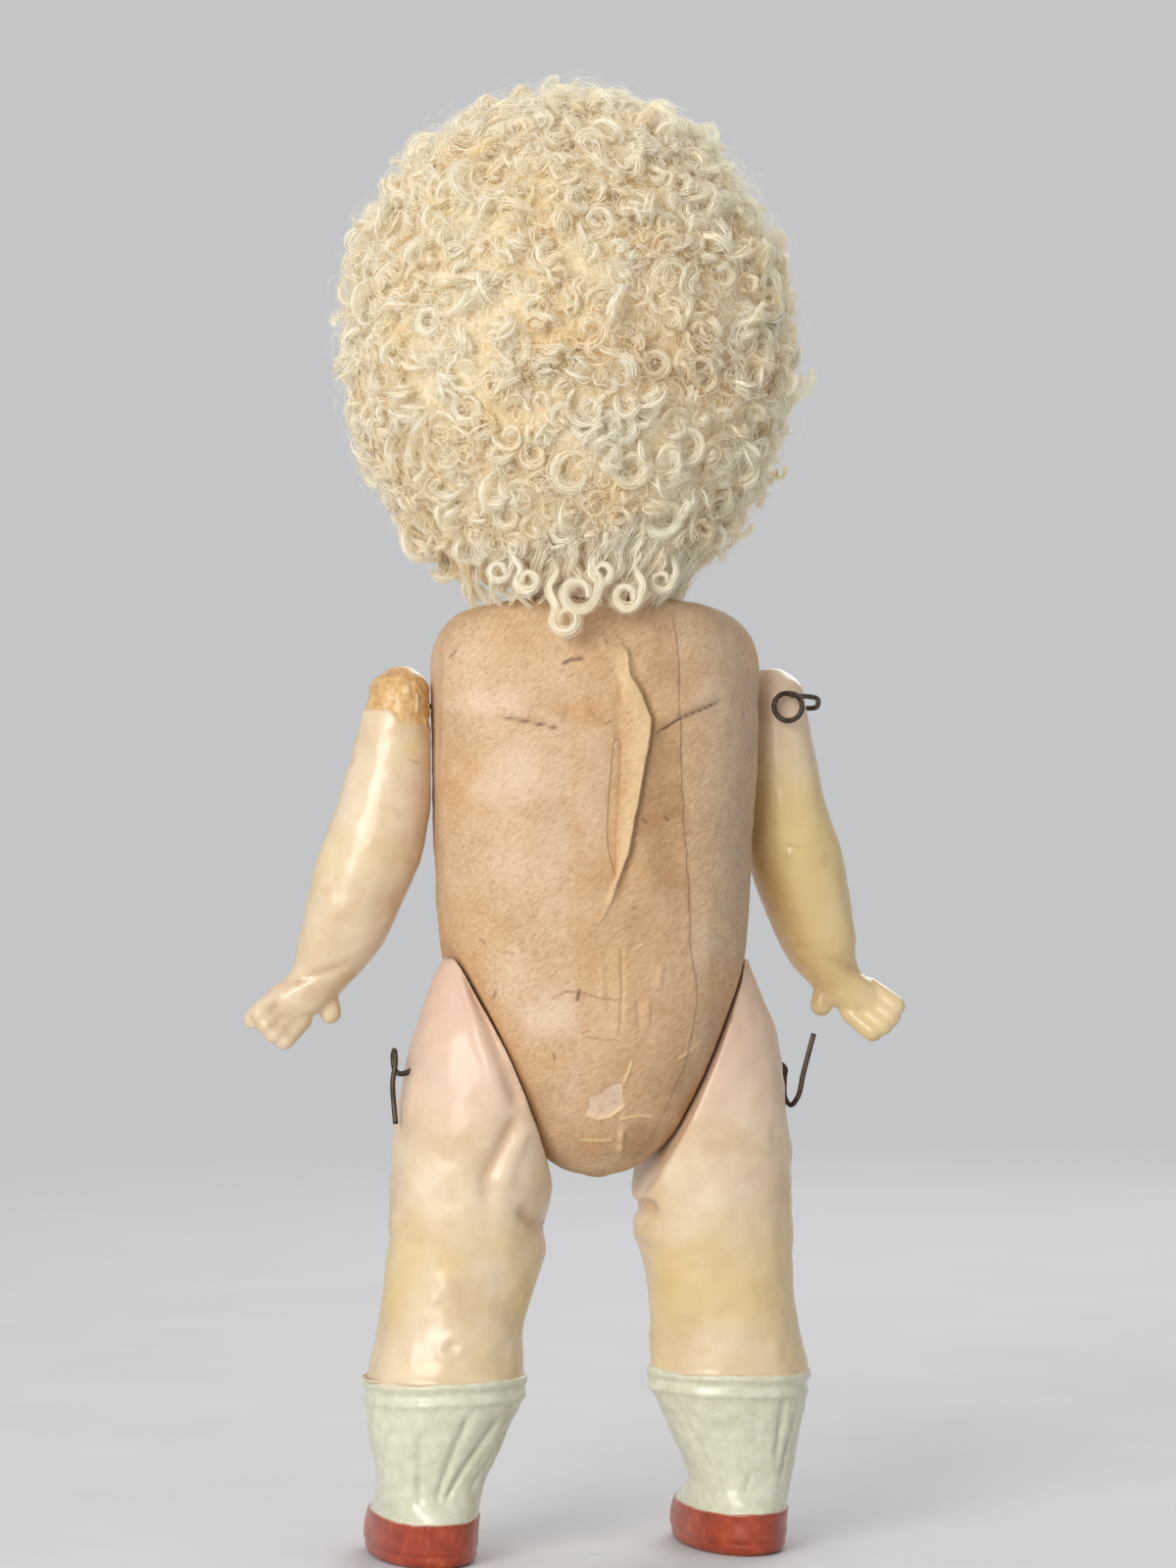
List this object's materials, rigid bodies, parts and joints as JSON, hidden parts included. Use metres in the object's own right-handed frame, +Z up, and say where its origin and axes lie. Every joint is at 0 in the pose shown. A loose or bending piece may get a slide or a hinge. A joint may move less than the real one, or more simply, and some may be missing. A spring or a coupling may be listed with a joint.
{
  "type": "doll",
  "caption": "Small standing doll with a bisque socket head, weighted glass sleep eyes, a curly fleece wig and a card body with strung arms and legs.",
  "frame": {"origin": "on the ground under the middle of the doll's outline", "axes": "+Z up, the doll faces -Y, its left side is +X"},
  "size_m": [0.084, 0.0536, 0.1799],
  "materials": {
    "bisque": "matt flesh tint",
    "card": "pressed and sized",
    "paper": "kraft strip",
    "composition": "painted and varnished",
    "fleece": "curly fleece",
    "hide": "skin",
    "wire": "dull",
    "elastic": "covered cord",
    "glass": "opal glass",
    "plaster": "cast",
    "lead": "cast",
    "wood": "bare"
  },
  "bodies": {
    "torso": {"torso_left_half": "card", "torso_right_half": "card", "back_seam_paper": "paper", "front_seam_paper": "paper", "arm_elastic": "elastic", "head_leg_elastic": "elastic"},
    "head": {"head_shell": "bisque", "crown_pate": "card", "wig_cap": "hide", "wig_fleece": "fleece", "neck_button": "wood", "neck_hook": "wire", "left_eye_pad": "plaster", "right_eye_pad": "plaster", "eye_stop": "wood"},
    "eyes": {"left_eye": "glass", "right_eye": "glass", "eye_bridge": "plaster", "eye_weight": "lead"},
    "left_arm": {"left_arm": "composition", "left_arm_hook": "wire"},
    "right_arm": {"right_arm": "composition", "right_arm_hook": "wire"},
    "left_leg": {"left_leg": "composition", "left_leg_hook": "wire"},
    "right_leg": {"right_leg": "composition", "right_leg_hook": "wire"}
  },
  "joints": [
    {"name": "head_turn", "type": "hinge", "parent": "torso", "child": "head", "pos_m": [-0.00051, -0.00036, 0.1196], "axis": [0, 0, 1], "range_deg": [-80, 80]},
    {"name": "eye_sleep", "type": "hinge", "parent": "head", "child": "eyes", "pos_m": [0.00069, -0.01628, 0.1464], "axis": [1, 0, 0], "range_deg": [0, 65]},
    {"name": "left_shoulder", "type": "hinge", "parent": "torso", "child": "left_arm", "pos_m": [0.01949, -0.00386, 0.1038], "axis": [-1, 0, 0], "range_deg": [-60, 135]},
    {"name": "right_shoulder", "type": "hinge", "parent": "torso", "child": "right_arm", "pos_m": [-0.02051, -0.00386, 0.1038], "axis": [-1, 0, 0], "range_deg": [-60, 135]},
    {"name": "left_hip", "type": "hinge", "parent": "torso", "child": "left_leg", "pos_m": [0.01349, -0.00036, 0.0638], "axis": [-0.9135, 0, 0.4067], "range_deg": [-30, 95]},
    {"name": "right_hip", "type": "hinge", "parent": "torso", "child": "right_leg", "pos_m": [-0.01451, -0.00036, 0.0638], "axis": [-0.9135, 0, -0.4067], "range_deg": [-30, 95]}
  ]
}
